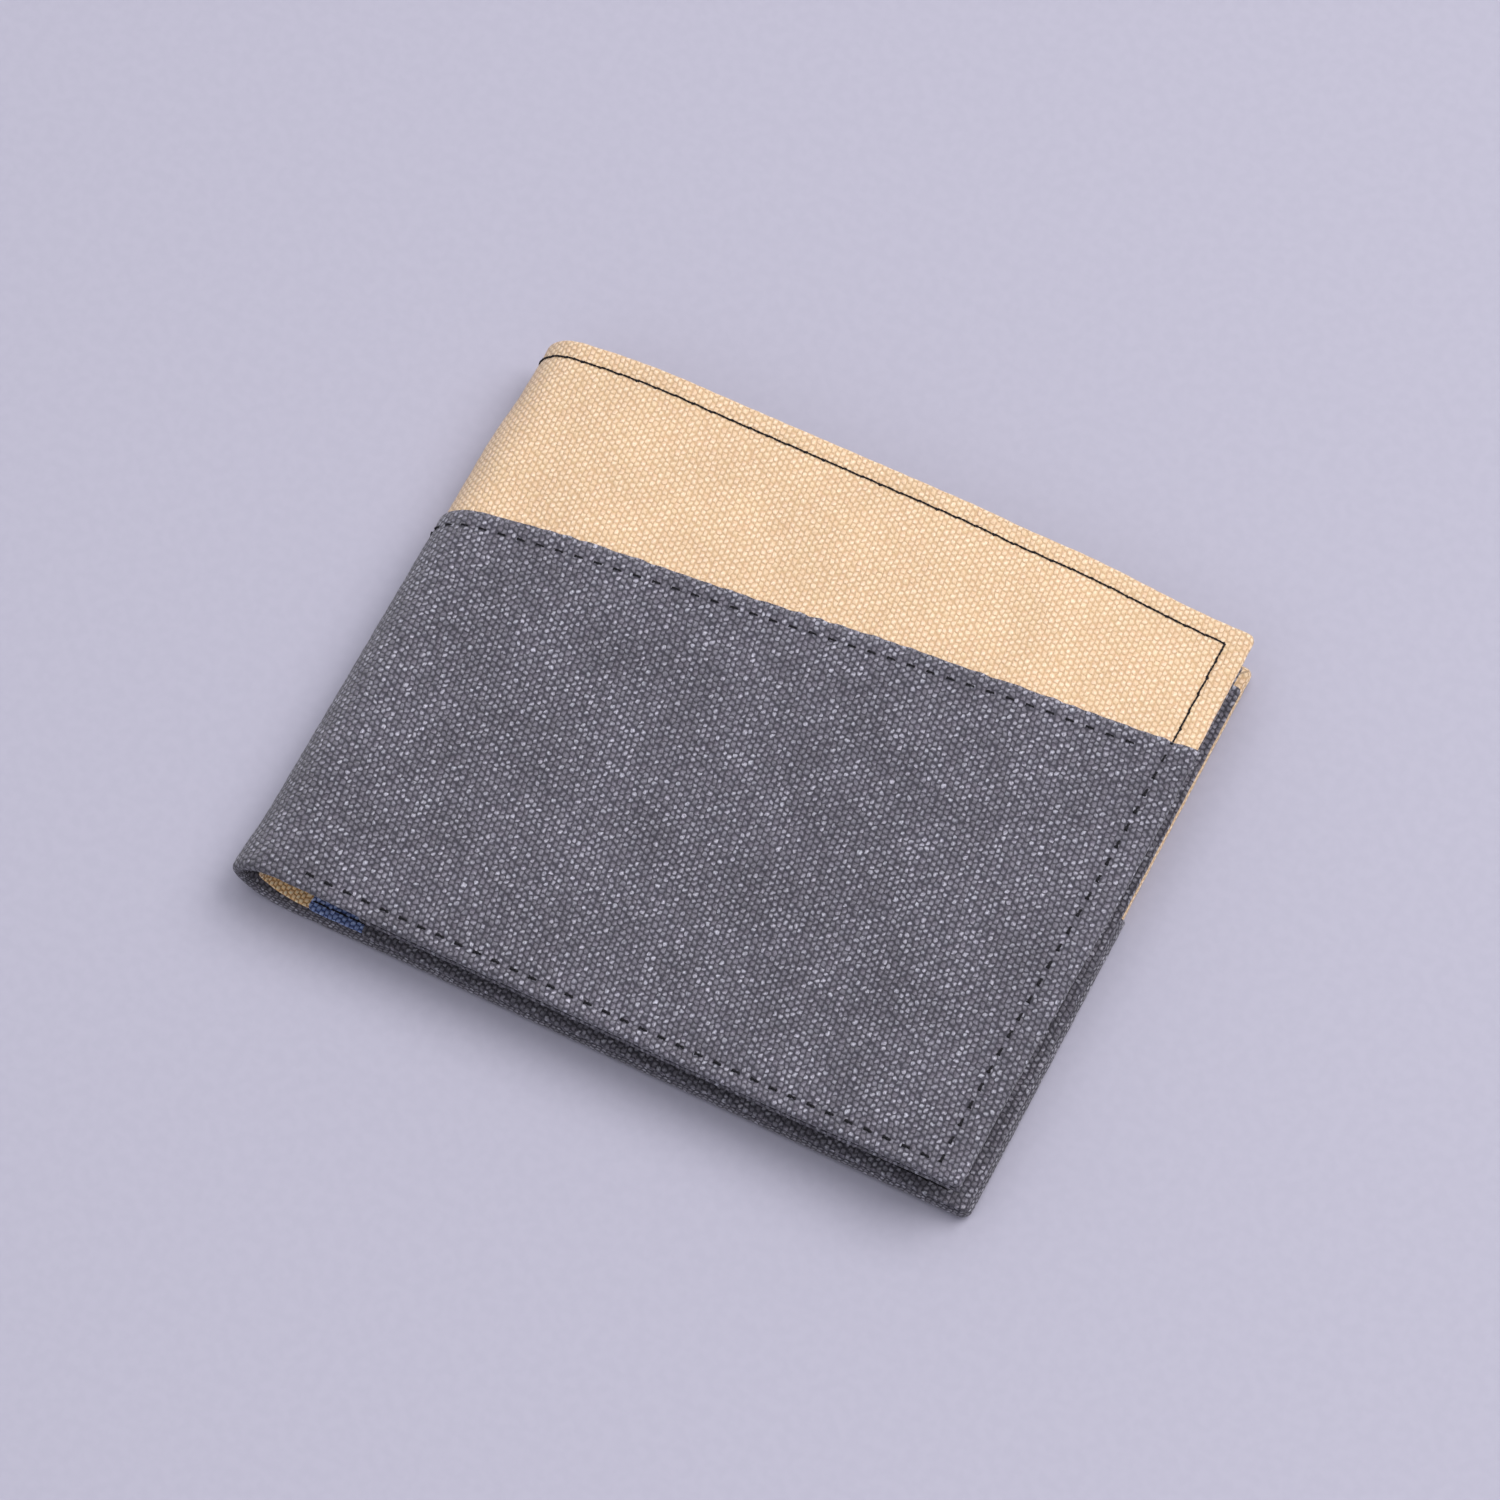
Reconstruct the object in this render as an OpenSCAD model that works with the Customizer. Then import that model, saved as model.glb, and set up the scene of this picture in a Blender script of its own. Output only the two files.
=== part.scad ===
// Bifold wallet in two-colour canvas, lying closed on its back half.
// +X runs from the folded spine to the open edge, +Y from the sewn bottom edge to
// the open top of the note compartment, and +Z up. The origin is the middle of the
// footprint, on the surface that the wallet lies on.

/* [Wallet] */
// Width of the closed wallet, from the spine to the open edge
closed_w = 115; // [105:1:125]
// Height of the wallet, from the bottom edge to the top edge
wallet_h = 94; // [90:1:105]
// Thickness of the closed, empty wallet
closed_t = 14; // [12:0.5:16]
// Corner radius of the outer panels
corner_r = 2; // [1:0.5:4]

/* [Fabric] */
// Thickness of the charcoal canvas overlay
overlay_t = 0.45; // [0.3:0.05:0.6]
// Thickness of the tan canvas shell
canvas_t = 0.5; // [0.3:0.05:0.7]
// Thickness of the lining cloth
lining_t = 0.15; // [0.1:0.05:0.3]
// Thickness of the wall between the note compartment and the pockets
wall_t = 0.35; // [0.3:0.05:0.5]
// Thickness of the pocket cloth
pocket_t = 0.3; // [0.2:0.05:0.4]

/* [Overlay] */
// Height of the overlay's slanted edge at the front half's open edge
edge_y = 27; // [20:1:34]
// Fall of the slanted edge for each millimetre round the cover
edge_slope = 0.1; // [0:0.01:0.12]

/* [Pockets] */
// Free space for notes between the lining and the wall
note_gap = 0.65; // [0.6:0.05:1]
// Free space of the slip pocket behind the blue panel
slip_gap = 0.2; // [0.15:0.05:0.3]
// Free space of a card slot, for a card 0.76 thick
card_gap = 0.8; // [0.8:0.05:0.9]
// How far the inner panels stop below the cover's top edge
inner_drop = 4; // [3:0.5:6]
// How far the fold of the compartment's wall stops inside the cover's spine
loop_drop = 4; // [3:0.5:5]
// Height of the upper card pocket's mouth
upper_mouth_y = 29; // [24:1:34]
// Step from the upper card pocket's mouth down to the lower one's
pocket_step = 14; // [10:1:16]

/* [Seams] */
// Distance from the open edge to its line of stitches
side_inset = 3.8; // [3:0.1:5]
// Distance from the top edge to its line of stitches
top_inset = 3; // [2.5:0.1:4]
// Distance from the bottom edge to its line of stitches
bottom_inset = 2.2; // [2:0.1:4]
// Length of one stitch with its gap
stitch_pitch = 3; // [2.5:0.1:4]
// Thickness of the sewing thread
thread_d = 0.36; // [0.3:0.02:0.4]
// Width of the cover's turned edge
hem_w = 8; // [6:0.5:10]

/* [Hidden] */
$fn = 64;

tan_canvas = "BurlyWood";
charcoal_canvas = "DimGray";
blue_canvas = "SteelBlue";
lining_cloth = "DarkSlateGray";
black_thread = "Black";

// Clearance between sewn layers, which keeps each one a separate solid
ply = 0.02;
// Slit that keeps the stiff panels clear of the turning spine
fold_slit = 0.5;

// Cover outline: the spine is a half round of radius fold_r about (fold_x, fold_z)
half_w = closed_w / 2;
half_h = wallet_h / 2;
fold_r = closed_t / 2;
fold_x = -half_w + fold_r;
fold_z = closed_t / 2;
panel_x = fold_x + fold_slit;
inner_top_y = half_h - inner_drop;

// Edges of the inner panels, measured from the spine
slip_x = -half_w + 11;
card_x = -half_w + 20;
inner_inset = 0.6;
inner_x = half_w - inner_inset;
inner_y = -half_h + inner_inset;

// Heights of the layers above the surface, from the cover inwards
shell_z = overlay_t;
hem_z = shell_z + canvas_t;
wall_z = hem_z + lining_t + note_gap;
slip_z = wall_z + wall_t + slip_gap;
base_z = slip_z + pocket_t;
upper_z = base_z + pocket_t + card_gap;
lower_z = upper_z + pocket_t + card_gap;

// Fold of the note compartment's wall, a smaller half round than the spine's
loop_r = fold_r - wall_z;
loop_x = -half_w + loop_drop + loop_r;
wall_x = loop_x + fold_slit + 0.2;

// Turned edges that close each pocket
hem_t = 0.45;
seam_w = 4.2;
block_seam_w = 3;
card_h = 54;
card_shows = 8;
floor_h = 3;
lower_mouth_y = upper_mouth_y - pocket_step;

// Lines of stitches
seam_x = half_w - side_inset;
top_seam_y = half_h - top_inset;
bottom_seam_y = -half_h + bottom_inset;
bottom_seam_x = slip_x - 0.5;
edge_seam_drop = 2.6;
stitch_fill = 0.75;
stitch_sink = thread_d / 2 + ply;

// Height of the overlay's slanted edge, at distance s round the cover from the
// front half's open edge
function slant_y(s) = edge_y - edge_slope * s;
function front_slant_y(x) = slant_y(half_w - x);
function back_slant_y(x) = slant_y(half_w - fold_x + PI * fold_r + x - fold_x);

// Turns a module drawn for the back half into the front half's place
module on_front() {
    translate([0, 0, closed_t]) mirror([0, 0, 1]) children();
}

// Flat cloth from x1 to x2 and y1 to y2, with its corners rounded at the open edge
module panel_2d(x1, x2, y1, y2, r) {
    translate([x1, y1]) square([x2 - x1 - r, y2 - y1]);
    translate([x1, y1 + r]) square([x2 - x1, y2 - y1 - 2 * r]);
    for (y = [y1 + r, y2 - r]) translate([x2 - r, y]) circle(r);
}

module panel(x1, x2, y1, y2, z, t, r = 1) {
    translate([0, 0, z]) linear_extrude(t) panel_2d(x1, x2, y1, y2, r);
}

// Turned edge of cloth, filling the space from z1 to z2 with a ply of clearance
module strip(x1, x2, y1, y2, z1, z2) {
    translate([x1 + ply, y1 + ply, z1 + ply])
        cube([x2 - x1 - 2 * ply, y2 - y1 - 2 * ply, z2 - z1 - 2 * ply]);
}

// One row of stitches from p1 to p2 at height z, or at tan_z where the row lies
// above the slanted edge
module stitch_row(p1, p2, z, tan_z, slant_left, slant_right) {
    run = norm(p2 - p1);
    count = floor(run / stitch_pitch);
    step = (p2 - p1) / count;
    turn = atan2(step[1], step[0]);
    for (i = [0 : count - 1]) {
        mid = p1 + step * (i + 0.5);
        share = (mid[0] - fold_x) / (half_w - fold_x);
        slant = slant_left + (slant_right - slant_left) * share;
        translate([mid[0], mid[1], mid[1] > slant ? tan_z : z])
            rotate([0, 0, turn]) rotate([0, 90, 0])
                cylinder(h = norm(step) * stitch_fill, d = thread_d, center = true);
    }
}

// Rows of stitches on one half of the cover
module cover_stitching(slant_left, slant_right) {
    color(black_thread) {
        corner = [seam_x, bottom_seam_y];
        top_corner = [seam_x, top_seam_y];
        stitch_row([bottom_seam_x, bottom_seam_y], corner, stitch_sink, overlay_t, slant_left, slant_right);
        stitch_row(corner, top_corner, stitch_sink, overlay_t, slant_left, slant_right);
        stitch_row(top_corner, [panel_x, top_seam_y], stitch_sink, overlay_t, slant_left, slant_right);
        stitch_row([panel_x, slant_left - edge_seam_drop], [seam_x - stitch_pitch, slant_right - edge_seam_drop],
            stitch_sink, overlay_t, slant_left, slant_right);
    }
}

// Charcoal canvas over the lower part of one half of the cover
module cover_overlay(slant_left, slant_right) {
    color(charcoal_canvas) linear_extrude(overlay_t) intersection() {
        panel_2d(panel_x, half_w, -half_h, half_h, corner_r);
        polygon([[panel_x, -half_h], [half_w, -half_h], [half_w, slant_right], [panel_x, slant_left]]);
    }
}

module cover_shell() {
    color(tan_canvas) panel(panel_x, half_w, -half_h, half_h, shell_z, canvas_t, corner_r);
}

// Edges of the cover turned to the inside along the bottom, the open edge and the top
module cover_hem() {
    far_x = half_w - corner_r / 2;
    far_y = half_h - corner_r / 2;
    color(tan_canvas) {
        strip(slip_x, far_x, -far_y, -far_y + hem_w, hem_z, hem_z + hem_t);
        strip(far_x - hem_w, far_x, -far_y + hem_w, far_y - hem_w, hem_z, hem_z + hem_t);
        strip(panel_x, far_x, far_y - hem_w, far_y, hem_z, hem_z + hem_t);
    }
}

// Lining on the shell, inside the turned edges
module cover_lining() {
    inset = corner_r / 2 + hem_w;
    color(lining_cloth)
        panel(panel_x, half_w - inset, -half_h + inset, half_h - inset, hem_z, lining_t);
}

// Inner wall of the note compartment, with the turned edges that close it
module note_wall() {
    color(tan_canvas) {
        panel(wall_x, inner_x, inner_y, inner_top_y, wall_z, wall_t);
        strip(slip_x, inner_x, inner_y, inner_y + seam_w, hem_z + hem_t, wall_z);
        strip(inner_x - seam_w, inner_x, inner_y + seam_w, inner_top_y, hem_z + hem_t, wall_z);
    }
}

// Blue panel of the slip pocket, which is open towards the spine
module slip_panel() {
    gap_z = wall_z + wall_t;
    color(blue_canvas) {
        panel(slip_x, inner_x, inner_y, inner_top_y, slip_z, pocket_t);
        strip(slip_x, inner_x, inner_y, inner_y + seam_w, gap_z, slip_z);
        strip(inner_x - seam_w, inner_x, inner_y + seam_w, inner_top_y - block_seam_w, gap_z, slip_z);
        strip(card_x, inner_x, inner_top_y - block_seam_w, inner_top_y, gap_z, slip_z);
    }
}

// Charcoal panel behind the card slots
module card_base() {
    color(charcoal_canvas)
        panel(card_x, inner_x, inner_y, inner_top_y, base_z + ply, pocket_t - ply);
}

// Card pocket with its mouth at mouth_y, and the turned edges that close the slot
// at both sides, the bottom seam and the row that stops the card
module card_pocket(mouth_y, z) {
    slot_z = z - card_gap;
    floor_y = mouth_y + card_shows - card_h;
    color(charcoal_canvas) {
        panel(card_x, inner_x, inner_y, mouth_y, z, pocket_t);
        strip(card_x, inner_x, inner_y, inner_y + seam_w, slot_z, z);
        strip(card_x, card_x + block_seam_w, inner_y + seam_w, mouth_y, slot_z, z);
        strip(inner_x - seam_w, inner_x, inner_y + seam_w, mouth_y, slot_z, z);
        strip(card_x + block_seam_w, inner_x - seam_w, floor_y - floor_h, floor_y, slot_z, z);
    }
}

// Half round of cloth about the line x, from y1 to y2
module fold_wrap(x, r_out, t, y1, y2) {
    translate([x, y2, fold_z]) rotate([90, 0, 0]) linear_extrude(y2 - y1)
        intersection() {
            difference() {
                circle(r_out);
                circle(r_out - t);
            }
            translate([-r_out, -r_out]) square([r_out, 2 * r_out]);
        }
}

// Overlay round the spine, cut along the slanted edge
module spine_overlay() {
    low = back_slant_y(fold_x);
    high = front_slant_y(fold_x);
    color(charcoal_canvas) intersection() {
        fold_wrap(fold_x, fold_r, overlay_t, -half_h, high + 1);
        translate([fold_x + 1, 0, 0]) rotate([90, 0, -90]) linear_extrude(fold_r + 2)
            polygon([[half_h + 1, -1], [-low, 0], [-high, closed_t], [half_h + 1, closed_t + 1]]);
    }
}

// Stitches that cross the spine: the top edge's row and the overlay edge's row
module spine_stitching() {
    shell_r = fold_r - overlay_t;
    count = floor(PI * fold_r / stitch_pitch);
    color(black_thread) for (i = [0 : count - 1]) {
        a = 180 * (i + 0.5) / count;
        slant = slant_y(half_w - fold_x + PI * fold_r * a / 180) - edge_seam_drop;
        for (row = [[shell_r, top_seam_y], [fold_r - stitch_sink * 1.6, slant]])
            translate([fold_x, row[1], fold_z]) rotate([0, -a, 0]) translate([0, 0, row[0]])
                rotate([0, 90, 0])
                    cylinder(h = stitch_pitch * 0.6, d = thread_d, center = true);
    }
}

cover_overlay(back_slant_y(panel_x), back_slant_y(half_w));  // back_overlay
cover_shell();  // back_shell
cover_hem();  // back_hem
cover_lining();  // back_lining
note_wall();  // back_wall
slip_panel();  // back_slip_panel
card_base();  // back_card_base
card_pocket(upper_mouth_y, upper_z);  // back_upper_pocket
card_pocket(lower_mouth_y, lower_z);  // back_lower_pocket
cover_stitching(back_slant_y(panel_x), back_slant_y(half_w));  // back_stitching

on_front() cover_overlay(front_slant_y(panel_x), front_slant_y(half_w));  // front_overlay
on_front() cover_shell();  // front_shell
on_front() cover_hem();  // front_hem
on_front() cover_lining();  // front_lining
on_front() note_wall();  // front_wall
on_front() slip_panel();  // front_slip_panel
on_front() card_base();  // front_card_base
on_front() card_pocket(upper_mouth_y, upper_z);  // front_upper_pocket
on_front() card_pocket(lower_mouth_y, lower_z);  // front_lower_pocket
on_front() cover_stitching(front_slant_y(panel_x), front_slant_y(half_w));  // front_stitching

color(tan_canvas) fold_wrap(fold_x, fold_r - overlay_t, canvas_t, -half_h, half_h);  // spine_shell
spine_overlay();
color(lining_cloth) fold_wrap(fold_x, fold_r - hem_z, lining_t, -half_h + hem_w, half_h - hem_w);  // spine_lining
color(tan_canvas) fold_wrap(loop_x, loop_r, wall_t, inner_y, inner_top_y);  // spine_wall
spine_stitching();
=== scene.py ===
"""Looks of the canvas bifold wallet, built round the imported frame.

Lengths are in mm unless a name says metres. Each half is drawn flat: c runs along it, from behind the spine
to the open edge, y runs up it, and depth goes into it from the cover's outer face. front is True for the
front half and False for the back half.
"""

import math

import bpy
import numpy as np
from mathutils import Matrix, Vector


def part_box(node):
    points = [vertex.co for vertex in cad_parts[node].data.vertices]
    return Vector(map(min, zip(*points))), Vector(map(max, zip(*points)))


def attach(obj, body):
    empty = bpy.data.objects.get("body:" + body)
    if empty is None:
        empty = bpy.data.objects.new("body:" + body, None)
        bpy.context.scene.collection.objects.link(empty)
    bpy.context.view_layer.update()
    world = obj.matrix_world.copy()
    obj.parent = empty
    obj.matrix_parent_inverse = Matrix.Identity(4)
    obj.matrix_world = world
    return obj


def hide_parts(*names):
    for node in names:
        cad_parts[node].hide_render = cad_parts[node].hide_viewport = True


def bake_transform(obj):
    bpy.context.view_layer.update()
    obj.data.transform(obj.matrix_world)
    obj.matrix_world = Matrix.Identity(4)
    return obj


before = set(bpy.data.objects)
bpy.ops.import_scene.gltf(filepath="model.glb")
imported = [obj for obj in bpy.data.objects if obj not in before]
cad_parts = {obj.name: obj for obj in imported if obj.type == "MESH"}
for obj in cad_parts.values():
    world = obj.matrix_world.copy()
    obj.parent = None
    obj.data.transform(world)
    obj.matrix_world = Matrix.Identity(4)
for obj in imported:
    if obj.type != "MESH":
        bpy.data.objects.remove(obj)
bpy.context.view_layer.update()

MM = 0.001  # metres in a millimetre


def box_mm(node):
    """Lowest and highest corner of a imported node, in mm."""
    low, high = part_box(node)
    return np.array(low) / MM, np.array(high) / MM


# ---------------------------------------------------------------- places from the frame
CLOSED_T = box_mm("front_overlay")[1][2]
HALF_W, HALF_H = box_mm("back_shell")[1][:2]
FOLD_R = CLOSED_T / 2
FOLD_X = box_mm("spine_overlay")[0][0] + FOLD_R
NOSE_C = FOLD_X - FOLD_R * math.pi / 2
SHELL_DEPTH = box_mm("back_shell")[0][2]
LINING_LOW, LINING_HIGH = box_mm("back_lining")
WALL_HIGH = box_mm("back_wall")[1]
LOOP_X = box_mm("spine_wall")[1][0]  # where the inner wall's own, smaller fold begins
SLIP_LOW, SLIP_HIGH = box_mm("back_slip_panel")
BLOCK_LOW, BLOCK_HIGH = box_mm("back_card_base")
UPPER_MOUTH = box_mm("back_upper_pocket")[1][1]
LOWER_MOUTH = box_mm("back_lower_pocket")[1][1]
SLANT_Y = box_mm("front_overlay")[1][1]
SLANT_SLOPE = 0.1  # fall of the overlay's edge for each mm round the cover

# ---------------------------------------------------------------- cloth
OVERLAY_T = 0.42
SHELL_T = 0.48
RIM_T = 0.9  # the shell with its turned edge
RIM_WRAP = 0.38  # the overlay's own turned edge
FLOOR_GAP = 0.01  # keeps the overlay's outer face off the floor's plane
EDGE_SHORT = 0.2  # the shell's open edge stops this far inside the frame's; the overlay turns round it
PANEL_INSET = 0.25  # how far the inner panels stop inside the cover's outline
SLIP_TUCK = 0.55  # how much further inside the slip panel stops
WALL_TUCK = 0.9  # the same for the note wall, so that it doesn't show below the slip panel
LEFT_SHIFT = 0.7  # the inner panels reach this much nearer to the fold than in the frame
LINING_T = 0.14
WALL_T = 0.3
SLIP_T = 0.27
BASE_T = 0.27
POCKET_T = 0.28
PLY = 0.02  # clearance between sewn layers
SLIP_GAP = 0.18
CARD_GAP = 0.75
SHELL_HEM = 8.0  # width of the band that is turned in at the shell's edges
OVERLAY_HEM = 6.5
CORNER_R = 1.2
FRONT_SHORT = 1.2  # the domed front reaches this much less far at its bottom corner
STACK_DEPTH = 3.2  # a sewn half, from the overlay to the innermost pocket
PRESSED = 2.0  # how much thinner than the frame the closed wallet is along its sewn bottom
TOP_RISE = 5.2  # how far the middle of its open top rises from there
CORNER_RISE = 1.3  # how far its bottom corner at the open edge rises
SWELL_FREE = 3  # depth of each half that the swell doesn't stretch: the back stays, the front rides up
NOSE_OUT = 0.75  # how far the spine's nose stands out beyond the frame's, between its two ends
UNEVEN = 0.075  # size of the cloth's soft waves
DROOP = 0.4  # how far the cloth falls away towards its edges
WAVER = 0.025  # how far the cloth's edges and seams waver from straight lines
FINE_BAND = 6.0  # width of the finer grid along a cloth's edges
FINE_STEP = 0.42

# ---------------------------------------------------------------- seams
SEAM_X = HALF_W - 3.8
TOP_SEAM_Y = HALF_H - 3.0
BOTTOM_SEAM_Y = -HALF_H + 2.2
BOTTOM_SEAM_C = SLIP_LOW[0] - 0.5
EDGE_SEAM_DROP = 2.6  # the overlay's upper seam runs this far below its slanted edge
POCKET_SEAM = 1.6  # distance of the inner seams from the card block's and the slip panel's edges
MOUTH_SEAM = 2.2  # distance of a pocket's seam from its mouth
PAST_NOSE = NOSE_C - 9  # past the middle of the spine, so that grooves that run round it don't fade
STITCH = 3.0
STITCH_POINTS = 13  # points along a stitch
THREAD_R = 0.165
PLY_R = 0.62  # radius of each of the thread's two plies, as a share of the thread's
PLY_OFF = 0.45  # how far a ply stands from the thread's middle, as a share of its radius
TWIST = 1.3  # length over which the plies go once round each other
BOLD = 1.35  # the overlay's stitches look heavier, sunk in the coarser cloth
BEAD = 0.2  # share by which a stitch swells where the weave lifts it
KNOT = 1.1  # share by which it swells at its ends
JOG = 0.05  # each stitch leans a little across the seam
GROOVE = 0.2  # how deep a seam pulls the cloth in
GROOVE_W = 0.65  # distance from the seam at which the groove has faded to about a third


def smooth(t):
    t = np.clip(t, 0, 1)
    return t * t * (3 - 2 * t)


def slant(front, c):
    """Height of the overlay's slanted edge at c, which runs along a half and on round the spine."""
    whole = HALF_W - NOSE_C
    round_cover = HALF_W - c if front else whole + c - NOSE_C
    ragged = 0.1 * np.sin(c / 7.3) + 0.07 * np.sin(1.5 * c + 2 * np.sin(0.31 * c))
    ragged = ragged + 0.05 * np.sin(2.3 * c)
    return SLANT_Y - SLANT_SLOPE * round_cover + ragged * smooth((c - FOLD_X) / 8)


def groove(front, c, y):
    """How deep the cover's seams pull the cloth in, from 0 to 1."""
    def row(off, along, start, stop):
        dip = np.exp(-((off / GROOVE_W) ** 2))
        return dip * smooth((along - start) / 2) * smooth((stop - along) / 2)

    bottom = row(y - BOTTOM_SEAM_Y, c, BOTTOM_SEAM_C - 1, SEAM_X + 1.5)
    top = row(y - TOP_SEAM_Y, c, PAST_NOSE, SEAM_X + 1.5)
    side = row(c - SEAM_X, y, BOTTOM_SEAM_Y - 1.5, TOP_SEAM_Y + 1.5)
    edge = 0.6 * row(y - slant(front, c) + EDGE_SEAM_DROP, c, PAST_NOSE, SEAM_X - 1)
    return np.maximum.reduce([bottom, top, side, edge])


def relief(front, c, y, depth):
    """Depth added by the cloth's soft unevenness, its sewn edges and its seams. A seam pulls the faces on
    both sides of a sewn half towards each other."""
    phase = 1.9 if front else 0.4
    wave = np.sin(c / 15 + y / 27 + phase) + np.sin(y / 12 - c / 29 + 2 * phase)
    wave = wave + 0.4 * np.sin((c + y) / 8.5 + 3 * phase) + 2.4
    rim = np.minimum(HALF_W - c, HALF_H - np.abs(y))
    droop = DROOP * (1 - smooth(rim / 12))
    pull = GROOVE * groove(front, c, y) * (1 - 1.7 * depth / STACK_DEPTH)
    return (UNEVEN * wave + droop) * smooth((c - FOLD_X) / 22) + pull


def swell(x, y):
    """How much thicker than the frame the closed wallet is: pressed flat at the sewn bottom, where this is
    below 0, and open at the top."""
    up = np.clip((y + HALF_H) / (2 * HALF_H), 0, 1)
    along = smooth((x + 66) / 34) * (1 - 0.12 * smooth((x - 12) / 10) - 0.5 * smooth((x - 28) / 24))
    corner = CORNER_RISE * smooth((x - 25) / 30) * (1 - up)
    return TOP_RISE * up**1.6 * along + corner - PRESSED


def bulge(y):
    """How far the spine's nose stands out beyond the frame's: most at the bottom end, least at the top."""
    return NOSE_OUT + 0.5 * smooth((-36 - y) / 10) - 0.7 * smooth((y - 28) / 12)


def place(front, c, y, depth, fold=FOLD_X):
    """Points of a half, in metres. Where c is less than fold it goes round the spine."""
    turn = np.clip(fold - c, 0, None) / FOLD_R
    radius = FOLD_R - depth
    x = np.where(c < fold, fold - radius * np.sin(turn) - bulge(y) * np.sin(turn) ** 1.5, c)
    z = np.where(c < fold, FOLD_R - radius * np.cos(turn), depth)
    if front:
        z = CLOSED_T - z
        x = x - FRONT_SHORT * smooth((x + 30) / 80) * smooth((20 - y) / 60)
    z = z + swell(x, y) * smooth((z - SWELL_FREE) / (CLOSED_T - 2 * SWELL_FREE))
    x = x + WAVER * np.sin(1.7 * y + 1.3 * np.sin(0.7 * y))
    y = y + WAVER * np.sin(1.6 * x + 1.3 * np.sin(0.6 * x))
    return np.stack(np.broadcast_arrays(x, y, z), -1) * MM


# Depth of each layer's outer face. Layers lie on each other at their seams and spread apart between them.
def level(depth):
    """A depth that is the same all over."""
    return lambda c, y: depth + 0 * c * y


def apart(sewn, start=4, width=8):
    """From 0 where layers lie on each other to 1 where they are free, at a distance from the sewn edges."""
    return smooth((sewn - start) / width)


def wall_depth(c, y):
    sewn = np.minimum(HALF_W - c, y + HALF_H)
    at_seam = SHELL_DEPTH + RIM_T + RIM_WRAP + PLY
    between = WALL_HIGH[2] - WALL_T
    return at_seam + (between - at_seam) * apart(sewn)


def slip_depth(c, y):
    sewn = np.minimum.reduce([HALF_W - c, y + HALF_H, SLIP_HIGH[1] - y + 2])
    return wall_depth(c, y) + WALL_T + PLY + SLIP_GAP * apart(sewn)


def base_depth(c, y):
    return slip_depth(c, y) + SLIP_T + PLY


def card_room(c, y):
    """Clearance in front of a card slot's back, which takes a card between the seams."""
    sewn = np.minimum.reduce([HALF_W - c, y + HALF_H, c - BLOCK_LOW[0] + 1])
    return PLY + CARD_GAP * apart(sewn, 3, 9)


def upper_depth(c, y):
    return base_depth(c, y) + BASE_T + card_room(c, y)


def lower_depth(c, y):
    return upper_depth(c, y) + POCKET_T + card_room(c, y)


# ---------------------------------------------------------------- meshes
def edge_steps(radius):
    """Distances of grid lines from a rounded edge: round the edge first, then evenly over the fine band."""
    bend = [radius * (1 - math.cos(math.radians(a))) for a in (0, 18, 36, 54, 72, 90)]
    return np.array(bend + list(np.arange(radius + FINE_STEP, FINE_BAND, FINE_STEP)))


def grid_lines(low, high, near_low, near_high, step):
    """Grid lines from low to high, which may be arrays, with the given distances kept at both ends."""
    low, high = np.broadcast_arrays(np.asarray(low, float), np.asarray(high, float))
    first, last = low + near_low[-1], high - near_high[-1]
    count = max(2, round(float(np.mean(last - first)) / step))
    parts = [low[..., None] + near_low]
    parts.append(first[..., None] + (last - first)[..., None] * np.arange(1, count) / count)
    parts.append((high[..., None] - near_high)[..., ::-1])
    return np.concatenate(parts, -1)


def round_corners(gaps, radius, sides):
    """Round the grid's square corners, by changing the two arrays of gaps at each corner."""
    for a_side, b_side in sides:
        a = np.clip(1 - gaps[a_side] / radius, 0, 1)
        b = np.clip(1 - gaps[b_side] / radius, 0, 1)
        both = (a > 0) & (b > 0)
        pull = np.where(both, np.maximum(a, b) / np.maximum(np.hypot(a, b), 1e-9), 1)
        gaps[a_side] = np.where(both, radius * (1 - a * pull), gaps[a_side])
        gaps[b_side] = np.where(both, radius * (1 - b * pull), gaps[b_side])


def add_object(name, data):
    obj = bpy.data.objects.new(name, data)
    bpy.context.scene.collection.objects.link(obj)
    return obj


def new_object(name, points, faces, **attributes):
    """A mesh object with an attribute of numbers or vectors on its points for each keyword."""
    mesh = bpy.data.meshes.new(name)
    mesh.from_pydata(np.asarray(points).tolist(), [], [list(map(int, f)) for f in faces])
    for key, values in attributes.items():
        if values.ndim == 2:
            mesh.attributes.new(key, "FLOAT_VECTOR", "POINT").data.foreach_set("vector", values.ravel())
        else:
            mesh.attributes.new(key, "FLOAT", "POINT").data.foreach_set("value", values)
    mesh.update()
    return add_object(name, mesh)


def finish_mesh(obj, sharp=50):
    """Apply the modifiers, shade smooth and keep edges over the sharp angle crisp."""
    bpy.context.view_layer.update()
    evaluated = obj.evaluated_get(bpy.context.evaluated_depsgraph_get())
    mesh = bpy.data.meshes.new_from_object(evaluated)
    obj.modifiers.clear()
    obj.data = mesh
    mesh.shade_smooth()
    mesh.set_sharp_from_angle(angle=math.radians(sharp))
    return obj


def compact(count, faces):
    """Drop, of this count of points, those that no face uses, and corners that repeat in a face. Gives the
    numbers of the points that stay, and the new faces."""
    used = np.unique(np.concatenate([np.asarray(face) for face in faces]))
    renumber = np.full(count, -1)
    renumber[used] = np.arange(len(used))
    clean = []
    for face in faces:
        corners = list(dict.fromkeys(renumber[np.asarray(face)]))
        if len(corners) > 2:
            clean.append(corners)
    return used, clean


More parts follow.
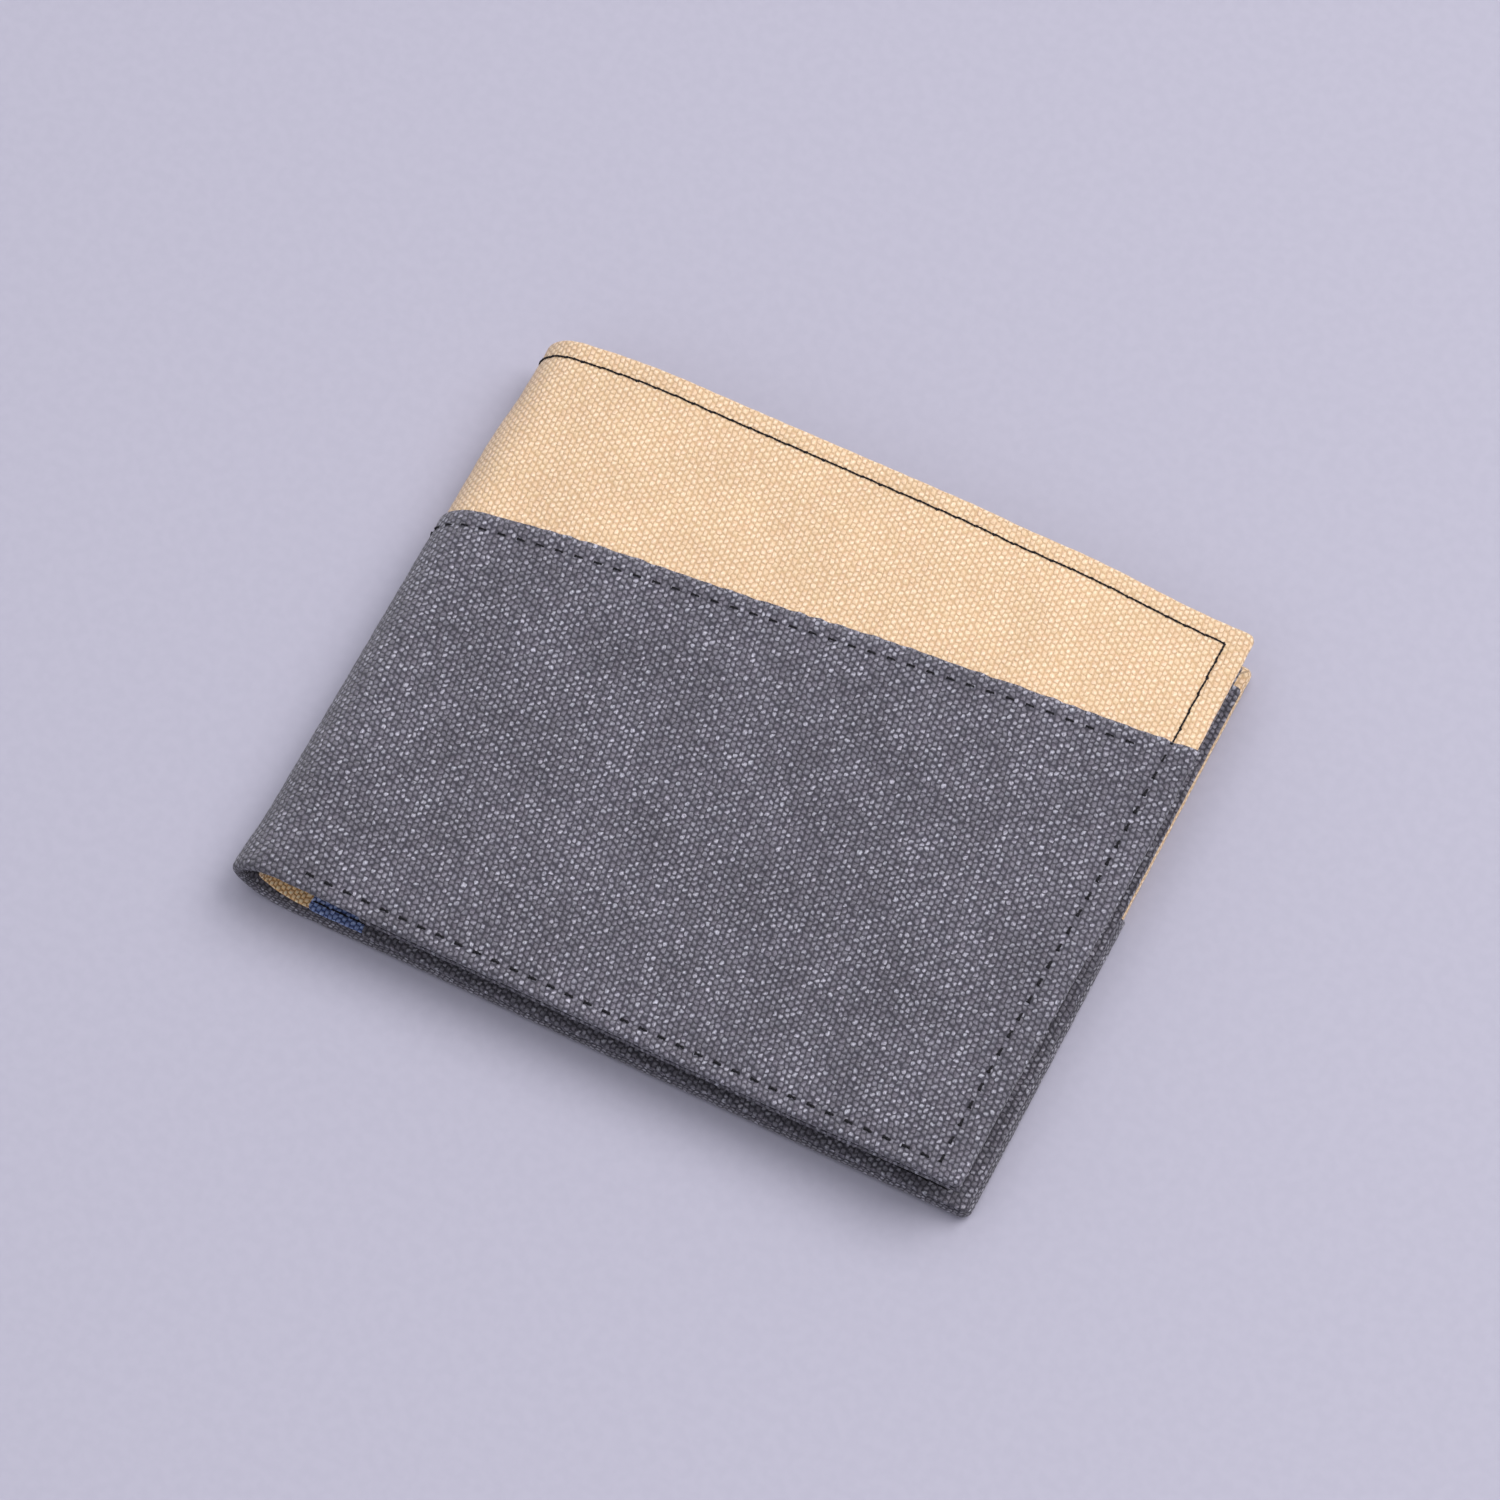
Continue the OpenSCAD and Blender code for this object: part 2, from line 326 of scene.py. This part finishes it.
def layer(name, front, left, right, low, high, depth, thick, rims, corner=0.0, hem=None, grain=0.0,
          step=0.8, fold=FOLD_X):
    """A cloth slab along one half, with rounded rims, that may run on round the spine.

    With a hem width it is an open skin instead: the outer face, the rims and a band of the inner face.
    high is a number or a function of c, depth a function of c and y, and grain the weave's turn in degrees.
    """
    radius = thick / 2
    near = edge_steps(radius)
    near_left, near_right = [near if side in rims else np.array([0.0]) for side in ("left", "right")]
    c = grid_lines(left, right, near_left, near_right, step)
    top = high(c) if callable(high) else np.full_like(c, high)
    bottom = np.full_like(c, low)
    y = grid_lines(bottom, top, near, near, step)
    c = np.broadcast_to(c[:, None], y.shape)
    gaps = {"left": c - left, "right": right - c, "low": y - bottom[:, None], "high": top[:, None] - y}
    inset = np.minimum.reduce([gaps[side] for side in rims])
    nearest = np.argmin(np.stack([gaps[side] for side in rims]), 0)
    if corner:
        pairs = [(a, b) for a in ("left", "right") for b in ("low", "high") if a in rims and b in rims]
        round_corners(gaps, corner, pairs)
        c = np.where(gaps["right"] < gaps["left"], right - gaps["right"], left + gaps["left"])
        y = np.where(gaps["low"] < gaps["high"], bottom[:, None] + gaps["low"], top[:, None] - gaps["high"])

    fall = 1 - np.clip(inset / radius, 0, 1)
    lift = radius * (1 - np.sqrt(1 - fall**2))
    outer = depth(c, y)
    faces_at = [outer + lift, outer + thick - lift]
    points = [place(front, c, y, d + relief(front, c, y, d), fold) for d in faces_at]

    # a skin's cloth coordinates run on over its rims, as turned cloth does; a slab's two faces are alike
    beyond = [radius * np.arcsin(fall) - radius * fall]
    turned = radius * (math.pi - np.arcsin(fall)) - radius * fall + 2 * np.clip(inset, 0, None)
    beyond.append(beyond[0] if hem is None else turned)
    outward = {"left": (-1, 0), "right": (1, 0), "low": (0, -1), "high": (0, 1)}
    angle = math.radians(grain)
    turn = np.array([[math.cos(angle), -math.sin(angle)], [math.sin(angle), math.cos(angle)]])
    pattern = depth(0, 0) * 9 + 40 * front  # a third coordinate, so that no two layers are woven alike
    cloths = []
    for extra in beyond:
        flat = np.stack([c, y], -1)
        for k, side in enumerate(rims):
            flat += np.where((nearest == k)[..., None], extra[..., None] * np.array(outward[side]), 0)
        flat = flat @ turn
        cloths.append(np.concatenate([flat, np.full_like(flat[..., :1], pattern)], -1))

    count = c.size
    index_out = np.arange(count).reshape(c.shape)
    index_in = np.where(inset <= 1e-9, index_out, index_out + count)

    def quads(index, flip, keep):
        q = np.stack([index[:-1, :-1], index[1:, :-1], index[1:, 1:], index[:-1, 1:]], -1)[keep]
        return q[:, ::-1] if flip else q

    everything = np.ones((c.shape[0] - 1, c.shape[1] - 1), bool)
    deepest = np.maximum.reduce([inset[:-1, :-1], inset[1:, :-1], inset[1:, 1:], inset[:-1, 1:]])
    band = everything if hem is None else deepest <= hem
    faces = list(quads(index_out, not front, everything)) + list(quads(index_in, front, band))
    if hem is None and "left" not in rims:
        strip = np.stack([index_out[0, :-1], index_out[0, 1:], index_in[0, 1:], index_in[0, :-1]], -1)
        faces += list(strip if front else strip[:, ::-1])

    # wear is 1 at the top edge, less at the others, and fades inside them
    worn = [np.maximum(np.exp(-gaps["high"] / 0.5), 0.1 * np.exp(-inset / 0.7)).ravel() for _ in points]
    all_points = np.concatenate([p.reshape(-1, 3) for p in points])
    all_cloth = np.concatenate([k.reshape(-1, 3) for k in cloths])
    all_worn = np.concatenate(worn)
    used, clean = compact(len(all_points), faces)
    return new_object(name, all_points[used], clean, cloth=all_cloth[used], wear=all_worn[used])


def bend_with_spine(obj, front):
    """Bake the piece's placement into its mesh."""
    if front:
        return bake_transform(obj)
    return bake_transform(obj)


# ---------------------------------------------------------------- thread
def tube(path, side, up, radius, ring=6):
    """Closed tube along a path; side and up are unit vectors across it at each point."""
    angles = np.arange(ring) * 2 * math.pi / ring
    offsets = side[:, None] * np.cos(angles)[None, :, None] + up[:, None] * np.sin(angles)[None, :, None]
    points = (path[:, None] + offsets * radius[:, None, None]).reshape(-1, 3)
    count = len(path)
    faces = []
    for i in range(count - 1):
        for k in range(ring):
            a, b = i * ring + k, i * ring + (k + 1) % ring
            faces.append((a, b, b + ring, a + ring))
    faces.append(tuple(range(ring))[::-1])
    faces.append(tuple((count - 1) * ring + k for k in range(ring)))
    return points, faces


def ends(along, power=14):
    """1 at both ends of a stitch and near 0 between them; a lower power reaches further in."""
    return np.abs(2 * along - 1) ** power


def stitch_rows(name, rows):
    """Two-ply stitches in one object. A row is (front, start, stop, surface, lie): its two (c, y) ends, the
    function for the face it lies on and the one for how far the thread rises from that face."""
    points, faces = [], []
    base = 0
    for front, start, stop, surface, lie in rows:
        start, stop = np.array(start, float), np.array(stop, float)
        count = max(1, round(float(np.linalg.norm(stop - start)) / STITCH))
        for k in range(count):
            along = 0.5 - 0.5 * np.cos(np.linspace(0, math.pi, STITCH_POINTS))
            share = (k + along) / count
            flat = start + (stop - start) * share[:, None]
            c, y = flat[:, 0], flat[:, 1]
            depth, outward = surface(front, c, y)
            rise = lie(front, c, y, along)
            path = place(front, c, y, depth - outward * rise)
            on_overlay = y[0] < slant(front, c[0]) - EDGE_SEAM_DROP - 1
            bold = BOLD if surface is cover_surface and on_overlay else 1.0
            up = place(front, c, y, depth - outward * (rise + 1)) - path
            path[:, 2] = np.maximum(path[:, 2], 2 * THREAD_R * MM)
            up /= np.linalg.norm(up, axis=1)[:, None]
            ahead = np.gradient(path, axis=0)
            side = np.cross(ahead, up)
            side /= np.linalg.norm(side, axis=1)[:, None]
            twist = along * STITCH * 2 * math.pi / TWIST + k
            knot = bold * (1 + KNOT * ends(along) + BEAD * np.cos(4 * math.pi * along))
            path = path + side * (JOG * (2 * along - 1) * MM)[:, None]
            for ply in (0, math.pi):
                shift = side * np.cos(twist + ply)[:, None] + up * np.sin(twist + ply)[:, None]
                strand = path + shift * THREAD_R * bold * PLY_OFF * MM
                p, f = tube(strand, side, up, THREAD_R * PLY_R * knot * MM)
                points.append(p)
                faces += [tuple(base + i for i in face) for face in f]
                base += len(p)
    points = np.concatenate(points)
    obj = new_object(name, points, faces, cloth=points / MM, wear=np.zeros(len(points)))
    return finish_mesh(obj, 70)


def cover_surface(front, c, y):
    """Depth of the cover's outer face, and the side of it that its thread lies on: 1 out, -1 in."""
    on_overlay = y < slant(front, c)
    depth = np.where(on_overlay, 0.0, SHELL_DEPTH)
    return depth + relief(front, c, y, depth), 1


def inner_surface(front, c, y):
    """Depth of the innermost face of a half."""
    depth = base_depth(c, y) + BASE_T
    depth = np.where(y < UPPER_MOUTH, upper_depth(c, y) + POCKET_T, depth)
    depth = np.where(y < LOWER_MOUTH, lower_depth(c, y) + POCKET_T, depth)
    depth = np.where(c < BLOCK_LOW[0], slip_depth(c, y) + SLIP_T, depth)
    return depth + relief(front, c, y, depth), -1


def hem_surface(front, c, y):
    """Depth of the turned edge's inner face along the top of the cover."""
    depth = SHELL_DEPTH + RIM_T + 0 * c
    return depth + relief(front, c, y, depth), -1


def lie_on_cover(front, c, y, along):
    """A stitch lies proud on the shell and sinks into the coarser overlay after its first part."""
    proud = 0.13 - 0.26 * ends(along)
    sunk = 0.17 - 0.35 * ends(np.clip(along / 0.45, 0, 1), 8) - 0.35 * smooth((along - 0.4) / 0.15)
    return np.where(y < slant(front, c), sunk, proud)


def lie_inside(front, c, y, along):
    return 0.08 - 0.35 * ends(along, 5)


# ---------------------------------------------------------------- materials
class Net:
    """Short names for building a material's nodes."""

    def __init__(self, name):
        self.material = bpy.data.materials.new(name)
        self.material.use_nodes = True
        self.tree = self.material.node_tree
        self.shader = self.tree.nodes["Principled BSDF"]

    def node(self, kind, **settings):
        made = self.tree.nodes.new(kind)
        for key, value in settings.items():
            setattr(made, key, value)
        return made

    def feed(self, socket, value):
        if isinstance(value, bpy.types.NodeSocket):
            self.tree.links.new(value, socket)
        else:
            socket.default_value = value

    def put(self, key, value):
        """Feed one of the surface shader's inputs."""
        self.feed(self.shader.inputs[key], value)

    def bump(self, height, relief_mm):
        made = self.node("ShaderNodeBump")
        self.feed(made.inputs["Height"], height)
        self.feed(made.inputs["Distance"], relief_mm * MM)
        self.feed(made.inputs["Strength"], 1.0)
        self.put("Normal", made.outputs[0])

    def channels(self, colour):
        made = self.node("ShaderNodeSeparateColor")
        self.feed(made.inputs[0], colour)
        return made.outputs

    def math(self, operation, *values):
        made = self.node("ShaderNodeMath", operation=operation)
        for socket, value in zip(made.inputs, values):
            self.feed(socket, value)
        return made.outputs[0]

    def ellipse(self, a, half_a, b, half_b):
        """Squared distance from the middle of an ellipse, in half widths: 1 on its outline."""
        return self.math("ADD", self.math("POWER", self.math("DIVIDE", a, half_a), 2.0),
                         self.math("POWER", self.math("DIVIDE", b, half_b), 2.0))

    def attribute(self, name):
        return self.node("ShaderNodeAttribute", attribute_name=name)

    def noise(self, vector, scale, detail=2.0, roughness=0.5):
        made = self.node("ShaderNodeTexNoise")
        self.feed(made.inputs["Vector"], vector)
        self.feed(made.inputs["Scale"], scale)
        self.feed(made.inputs["Detail"], detail)
        self.feed(made.inputs["Roughness"], roughness)
        return made

    def combine(self, x, y, z=0.0):
        made = self.node("ShaderNodeCombineXYZ")
        for socket, value in zip(made.inputs, (x, y, z)):
            self.feed(socket, value)
        return made.outputs[0]

    def ramp(self, value, low, high, out_low=0.0, out_high=1.0):
        made = self.node("ShaderNodeMapRange", interpolation_type="SMOOTHSTEP")
        for socket, number in zip(made.inputs, (value, low, high, out_low, out_high)):
            self.feed(socket, number)
        return made.outputs[0]

    def mix(self, factor, a, b, kind="MIX"):
        made = self.node("ShaderNodeMix", data_type="RGBA", blend_type=kind)
        self.feed(made.inputs[0], factor)
        self.feed(made.inputs[6], a)
        self.feed(made.inputs[7], b)
        return made.outputs[2]


def woven(name, shaded_gap, yarn, crown, width, length, stray=0.2, wander=0.2, common=0.35, rarity=1.0,
          mottle=0.12, fibres=0.5, fuzz=0.3, relief_mm=0.13):
    """Coarse canvas: columns of rounded crowns, each column half a crown out of step with the next.

    shaded_gap is the colour between crowns, darkened there as painted shade, yarn their sides, and crown
    the colour of the painted highlight on their tops, which also lightens worn fibres. width and length are
    a cell's, in mm. stray is how far crowns stand from the middles of their cells, as a share of a cell,
    and wander how far in mm the columns themselves stray. Every crown's painted highlight has at least
    common strength, and a high rarity leaves few stronger. mottle is how much broad patches differ in tone,
    fibres how much the fibres do, and fuzz how light the fibres are at a worn edge. relief_mm is the height
    of the bump.
    """
    net = Net(name)
    cloth = net.attribute("cloth").outputs["Vector"]
    worn = net.attribute("wear").outputs["Fac"]

    broad = net.channels(net.noise(cloth, scale=0.45, detail=2.0).outputs["Color"])
    close = net.channels(net.noise(cloth, scale=1.5, detail=1.0).outputs["Color"])
    flat = net.node("ShaderNodeSeparateXYZ")
    net.feed(flat.inputs[0], cloth)

    sway = 0.6  # how far in mm the weave sways broadly

    def wandering(k):
        """One of the cloth's two coordinates, pushed about softly so that the weave isn't ruled."""
        pushed = net.math("MULTIPLY_ADD", close[k], wander, flat.outputs[k])
        return net.math("MULTIPLY_ADD", broad[k], sway, pushed)

    x, y = wandering(0), wandering(1)
    u = net.math("DIVIDE", x, width)
    column = net.math("FLOOR", u)
    v = net.math("MULTIPLY_ADD", column, 0.5, net.math("DIVIDE", y, length))
    row = net.math("FLOOR", v)
    chance = net.node("ShaderNodeTexWhiteNoise", noise_dimensions="3D")
    net.feed(chance.inputs["Vector"], net.combine(column, row, 3.0))
    draw = net.channels(chance.outputs["Color"])

    def off_middle(value, cell, luck, size):
        """Distance in mm from a crown's own middle, which strays from the middle of its cell."""
        middle = net.math("MULTIPLY_ADD", luck, stray, 0.5 - stray / 2)
        return net.math("MULTIPLY", net.math("SUBTRACT", net.math("SUBTRACT", value, cell), middle), size)

    # height is about 1 on top of a crown and 0 between crowns, and each crown has its own size in mm
    lean = 0.25  # how far a crown leans along its column for each mm across it
    across = off_middle(u, column, draw[0], width)
    along = off_middle(v, row, draw[1], length)
    along = net.math("MULTIPLY_ADD", across, lean, along)
    broadest = net.math("MULTIPLY_ADD", draw[1], 0.12, 0.45)
    longest = net.math("MULTIPLY_ADD", draw[0], 0.14, 0.5)
    away = net.ellipse(across, broadest, along, longest)
    grown = net.math("MULTIPLY_ADD", chance.outputs["Value"], 0.3, 0.85)
    borders = [net.ramp(net.math("PINGPONG", value, 0.5), 0.0, 0.17, 0.25) for value in (u, v)]
    grown = net.math("MULTIPLY", grown, net.math("MULTIPLY", borders[0], borders[1]))
    height = net.math("MULTIPLY", net.math("MAXIMUM", net.math("SUBTRACT", 1.0, away), 0.0), grown)
    streaks = net.combine(net.math("MULTIPLY", x, 5.0), net.math("MULTIPLY", y, 3.0))
    fibre = net.noise(streaks, scale=1.0, detail=3.0, roughness=0.65).outputs["Fac"]
    patch = net.noise(cloth, scale=0.09, detail=4.0, roughness=0.6).outputs["Fac"]

    # a narrow painted highlight lies aslant on each crown
    diagonal = 0.707  # sine and cosine of 45 degrees
    lengthwise = net.math("MULTIPLY", net.math("ADD", across, along), diagonal)
    crosswise = net.math("MULTIPLY", net.math("SUBTRACT", along, across), diagonal)
    off_highlight = net.ellipse(lengthwise, 0.5, crosswise, 0.29)
    painted_highlight = net.math("MULTIPLY", net.ramp(off_highlight, 0.0, 1.0, 1.0, 0.0), net.ramp(height, 0.1, 0.55))
    # highlight_and_wear: the painted highlight, of a strength that differs from crown to crown, plus
    # lighter fibres where the cloth is worn
    rare = net.math("MULTIPLY_ADD", net.math("POWER", draw[2], rarity), 1 - common, common)
    highlight_and_wear = net.math("MULTIPLY", rare, painted_highlight)
    highlight_and_wear = net.math("MULTIPLY", highlight_and_wear, net.ramp(fibre, 0.3, 0.65, 0.55, 1.1))
    highlight_and_wear = net.math("ADD", highlight_and_wear, net.math("MULTIPLY", worn, net.ramp(fibre, 0.4, 0.65, 0.0, fuzz)))

    # painted shade: the colour falls from the yarn's to the darker gap colour where the crowns' height
    # falls away, then the painted highlight and the worn fibres lighten it towards crown
    colour = net.mix(net.ramp(height, 0.0, 0.6), (*shaded_gap, 1), (*yarn, 1))
    colour = net.mix(net.math("MINIMUM", highlight_and_wear, 1.0), colour, (*crown, 1))
    own_hue = 0.025  # share of a colour of its own in each crown
    tint = net.mix(own_hue, (1, 1, 1, 1), chance.outputs["Color"])
    colour = net.mix(1.0, colour, tint, "MULTIPLY")
    tone = net.ramp(patch, 0.3, 0.7, 1 - mottle, 1 + mottle)
    tone = net.math("MULTIPLY", tone, net.math("MULTIPLY_ADD", fibre, fibres, 1.08 - fibres / 2))
    colour = net.mix(1.0, colour, net.combine(tone, tone, tone), "MULTIPLY")

    net.put("Base Color", colour)
    net.bump(net.math("MULTIPLY_ADD", fibre, 0.4, height), relief_mm)
    net.put("Roughness", net.ramp(height, 0.2, 1.0, 0.98, 0.82))
    net.put("Sheen Weight", 0.25)
    net.put("Sheen Roughness", 0.5)
    net.put("Specular IOR Level", 0.3)
    return net.material


def thread_material():
    net = Net("black_thread")
    cloth = net.attribute("cloth").outputs["Vector"]
    fibre = net.noise(cloth, scale=9.0, detail=3.0, roughness=0.6).outputs["Fac"]
    colour = net.mix(net.ramp(fibre, 0.35, 0.75), (0.004, 0.004, 0.006, 1), (0.022, 0.02, 0.026, 1))
    net.put("Base Color", colour)
    net.bump(fibre, relief_mm=0.04)
    net.put("Roughness", net.ramp(fibre, 0.3, 0.7, 0.65, 0.85))
    net.put("Specular IOR Level", 0.25)
    return net.material


def floor_material():
    net = Net("pale_floor")
    place_on_floor = net.node("ShaderNodeTexCoord").outputs["Object"]
    grain = net.noise(place_on_floor, scale=600.0, detail=2.0).outputs["Fac"]
    colour = net.mix(net.ramp(grain, 0.3, 0.7), (0.435, 0.42, 0.52, 1), (0.45, 0.435, 0.535, 1))
    net.put("Base Color", colour)
    net.put("Roughness", 0.7)
    return net.material


# Each canvas: the gap colour, darkened as painted shade, the yarn colour, and the crown colour of the
# painted highlight and the worn fibres, then a cell's width and length.
TAN = woven("tan_canvas", (0.62, 0.415, 0.245), (0.745, 0.525, 0.335), (0.92, 0.715, 0.52), 0.8, 0.97,
            stray=0.26, wander=0.3, mottle=0.04, fibres=0.8, relief_mm=0.12)
# painted bounce light: a brighter, more orange copy of the tan canvas for the note wall inside the fold
BOUNCE_LIT_TAN = woven("bounce_lit_tan_canvas", (0.47, 0.26, 0.105), (0.86, 0.56, 0.285), (1.0, 0.87, 0.62),
                  0.76, 0.92, common=0.5, mottle=0.06)
CHARCOAL = woven("charcoal_canvas", (0.053, 0.05, 0.065), (0.109, 0.1, 0.13), (0.45, 0.44, 0.505),
                 0.8, 0.94, stray=0.3, wander=0.45, common=0.2, rarity=2.6, mottle=0.13, fibres=1.3,
                 fuzz=0.5, relief_mm=0.17)
BLUE = woven("blue_canvas", (0.035, 0.055, 0.16), (0.125, 0.185, 0.43), (0.5, 0.62, 0.94), 0.7, 0.88,
             rarity=1.5, mottle=0.1, fibres=0.8)
LINING = woven("lining_cloth", (0.006, 0.006, 0.007), (0.016, 0.016, 0.018), (0.03, 0.03, 0.034), 0.4, 0.5,
               relief_mm=0.04)
THREAD = thread_material()


def dress(obj, material, slot, *nodes):
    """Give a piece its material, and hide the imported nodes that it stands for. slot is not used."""
    obj.data.materials.clear()
    obj.data.materials.append(material)
    if nodes:
        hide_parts(*nodes)
    return obj


# ---------------------------------------------------------------- the cover
def thicken(obj, thickness):
    """Give an open skin this thickness, inwards from its outer face."""
    made = obj.modifiers.new("cloth", "SOLIDIFY")
    made.thickness = thickness * MM
    made.offset = -1


def make_shell(half, front):
    obj = layer(f"{half}_shell_cloth", front, NOSE_C, HALF_W - EDGE_SHORT, -HALF_H + OVERLAY_T, HALF_H,
                level(SHELL_DEPTH), RIM_T, ("right", "low", "high"), corner=CORNER_R, hem=SHELL_HEM,
                grain=3.7)
    thicken(obj, SHELL_T)
    finish_mesh(obj)
    dress(obj, TAN, "tan_canvas", f"{half}_shell", f"{half}_hem", "spine_shell")
    return bend_with_spine(obj, front)


def make_overlay(half, front):
    obj = layer(f"{half}_overlay_cloth", front, NOSE_C, HALF_W - EDGE_SHORT + OVERLAY_T, -HALF_H,
                lambda c: slant(front, c), level(FLOOR_GAP), RIM_T + 2 * OVERLAY_T, ("right", "low"),
                corner=CORNER_R + OVERLAY_T, hem=OVERLAY_HEM, grain=8.5)
    thicken(obj, OVERLAY_T - FLOOR_GAP)
    soften = obj.modifiers.new("fold", "BEVEL")
    soften.width = 0.14 * MM
    soften.segments = 2
    soften.limit_method = "ANGLE"
    soften.angle_limit = math.radians(55)
    finish_mesh(obj, 75)
    dress(obj, CHARCOAL, "charcoal_canvas", f"{half}_overlay", "spine_overlay")
    return bend_with_spine(obj, front)


def make_lining(half, front):
    obj = layer(f"{half}_lining_cloth", front, NOSE_C, LINING_HIGH[0] + 1, LINING_LOW[1] - 1,
                LINING_HIGH[1] + 1, level(SHELL_DEPTH + SHELL_T + PLY), LINING_T, ("right", "low", "high"),
                step=2.2)
    finish_mesh(obj)
    dress(obj, LINING, "lining_cloth", f"{half}_lining", "spine_lining")
    return bend_with_spine(obj, front)


# ---------------------------------------------------------------- the inside
def make_wall(half, front):
    """The note compartment's inner wall, which folds round its own, smaller bend."""
    nose = LOOP_X - FOLD_R * math.pi / 2
    inset = PANEL_INSET + WALL_TUCK
    obj = layer(f"{half}_wall_cloth", front, nose, HALF_W - inset, -HALF_H + inset, WALL_HIGH[1],
                wall_depth, WALL_T, ("right", "low", "high"), corner=1.0, grain=1, fold=LOOP_X)
    finish_mesh(obj)
    # painted bounce light: the wall wears the brighter, more orange copy of the tan canvas
    dress(obj, BOUNCE_LIT_TAN, "tan_canvas", f"{half}_wall", "spine_wall")
    return bend_with_spine(obj, front)


def make_panel(name, front, left, high, depth, thick, material, slot, node, tuck=0.0):
    inset = PANEL_INSET + tuck
    obj = layer(name, front, left - LEFT_SHIFT, HALF_W - inset, -HALF_H + inset, high, depth, thick,
                ("left", "right", "low", "high"), corner=0.8, grain=0.8)
    finish_mesh(obj)
    dress(obj, material, slot, node)
    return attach(obj, "front_half" if front else "back_half")


def make_pockets(half, front):
    make_panel(f"{half}_slip_cloth", front, SLIP_LOW[0], SLIP_HIGH[1], slip_depth, SLIP_T, BLUE,
               "blue_canvas", f"{half}_slip_panel", SLIP_TUCK)
    for part, high, depth, thick in (("card_base", BLOCK_HIGH[1], base_depth, BASE_T),
                                     ("upper_pocket", UPPER_MOUTH, upper_depth, POCKET_T),
                                     ("lower_pocket", LOWER_MOUTH, lower_depth, POCKET_T)):
        make_panel(f"{half}_{part}_cloth", front, BLOCK_LOW[0], high, depth, thick, CHARCOAL,
                   "charcoal_canvas", f"{half}_{part}")


def make_stitching(half, front):
    corner, top_corner = (SEAM_X, BOTTOM_SEAM_Y), (SEAM_X, TOP_SEAM_Y)
    edge_low, edge_mid, edge_high = slant(front, np.array([NOSE_C, FOLD_X, SEAM_X])) - EDGE_SEAM_DROP
    outer = [((BOTTOM_SEAM_C, BOTTOM_SEAM_Y), corner), (corner, top_corner)]
    outer += [(top_corner, (NOSE_C, TOP_SEAM_Y)), ((NOSE_C, edge_low), (FOLD_X, edge_mid))]
    outer += [((FOLD_X, edge_mid), (SEAM_X - STITCH, edge_high))]
    rows = [(front, a, b, cover_surface, lie_on_cover) for a, b in outer]
    rows.append((front, top_corner, (FOLD_X, TOP_SEAM_Y), hem_surface, lie_inside))
    obj = stitch_rows(f"{half}_cover_stitching", rows)
    dress(obj, THREAD, "black_thread", f"{half}_stitching", "spine_stitching")
    bend_with_spine(obj, front)

    left, high = BLOCK_LOW[0] + POCKET_SEAM, SLIP_HIGH[1] - POCKET_SEAM
    inner = [((BOTTOM_SEAM_C, BOTTOM_SEAM_Y), corner), (corner, (SEAM_X, high))]
    inner += [((left, BOTTOM_SEAM_Y), (left, high)), ((left, high), (SEAM_X, high))]
    inner += [((left, y), (SEAM_X, y)) for y in (UPPER_MOUTH - MOUTH_SEAM, LOWER_MOUTH - MOUTH_SEAM)]
    rows = [(front, a, b, inner_surface, lie_inside) for a, b in inner]
    obj = stitch_rows(f"{half}_pocket_stitching", rows)
    dress(obj, THREAD, "black_thread")
    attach(obj, "front_half" if front else "back_half")


for half, front in (("back", False), ("front", True)):
    make_shell(half, front)
    make_overlay(half, front)
    make_lining(half, front)
    make_wall(half, front)
    make_pockets(half, front)
    make_stitching(half, front)


# ---------------------------------------------------------------- camera, light and floor
def make_camera():
    """Looks at the wallet from above its sewn bottom and open edge. Distances are in metres."""
    azimuth, elevation, roll = (math.radians(a) for a in (31.29, 64.5, -4.71))
    distance, shift_up, shift_left = 0.929, 0.00476, 0.00017
    back = Vector((math.sin(azimuth) * math.cos(elevation), -math.cos(azimuth) * math.cos(elevation),
                   math.sin(elevation)))
    right = (-back).cross(Vector((0, 0, 1))).normalized()
    up = right.cross(-back)
    across = math.cos(roll) * right + math.sin(roll) * up
    above = -math.sin(roll) * right + math.cos(roll) * up
    data = bpy.data.cameras.new("camera")
    data.sensor_width = 36
    data.lens = 155.65
    camera = add_object("camera", data)
    place_at = back * distance + above * shift_up - across * shift_left
    turned = Matrix((across, above, back)).transposed().to_4x4()
    camera.matrix_world = Matrix.Translation(place_at) @ turned
    bpy.context.scene.camera = camera


def area_light(name, place_at, size, power, colour):
    """A round light, aimed at the wallet. The place and the size are in metres."""
    data = bpy.data.lights.new(name, "AREA")
    data.shape = "DISK"
    data.size = size
    data.energy = power
    data.color = colour
    light = add_object(name, data)
    light.location = place_at
    light.rotation_euler = (-Vector(place_at)).to_track_quat("-Z", "Y").to_euler()


def make_studio():
    area_light("key", (1.0, 0.9, 1.8), 1.7, 28.0, (1.0, 0.98, 0.96))
    area_light("fill", (-0.3, -1.2, 1.7), 1.4, 3.5, (0.97, 0.98, 1.0))
    area_light("overhead", (0.1, 0.3, 1.6), 2.0, 13.8, (0.97, 0.98, 1.0))
    world = bpy.data.worlds.new("studio")
    world.use_nodes = True
    background = world.node_tree.nodes["Background"]
    background.inputs["Color"].default_value = (0.93, 0.94, 1.0, 1)
    background.inputs["Strength"].default_value = 0.42
    bpy.context.scene.world = world
    bpy.context.scene.view_settings.view_transform = "Standard"

    reach = 3.0  # metres from the wallet to the floor's edges
    mesh = bpy.data.meshes.new("floor")
    mesh.from_pydata([(-reach, -reach, 0), (reach, -reach, 0), (reach, reach, 0), (-reach, reach, 0)], [],
                     [(0, 1, 2, 3)])
    mesh.materials.append(floor_material())
    floor = add_object("floor", mesh)


make_camera()
make_studio()
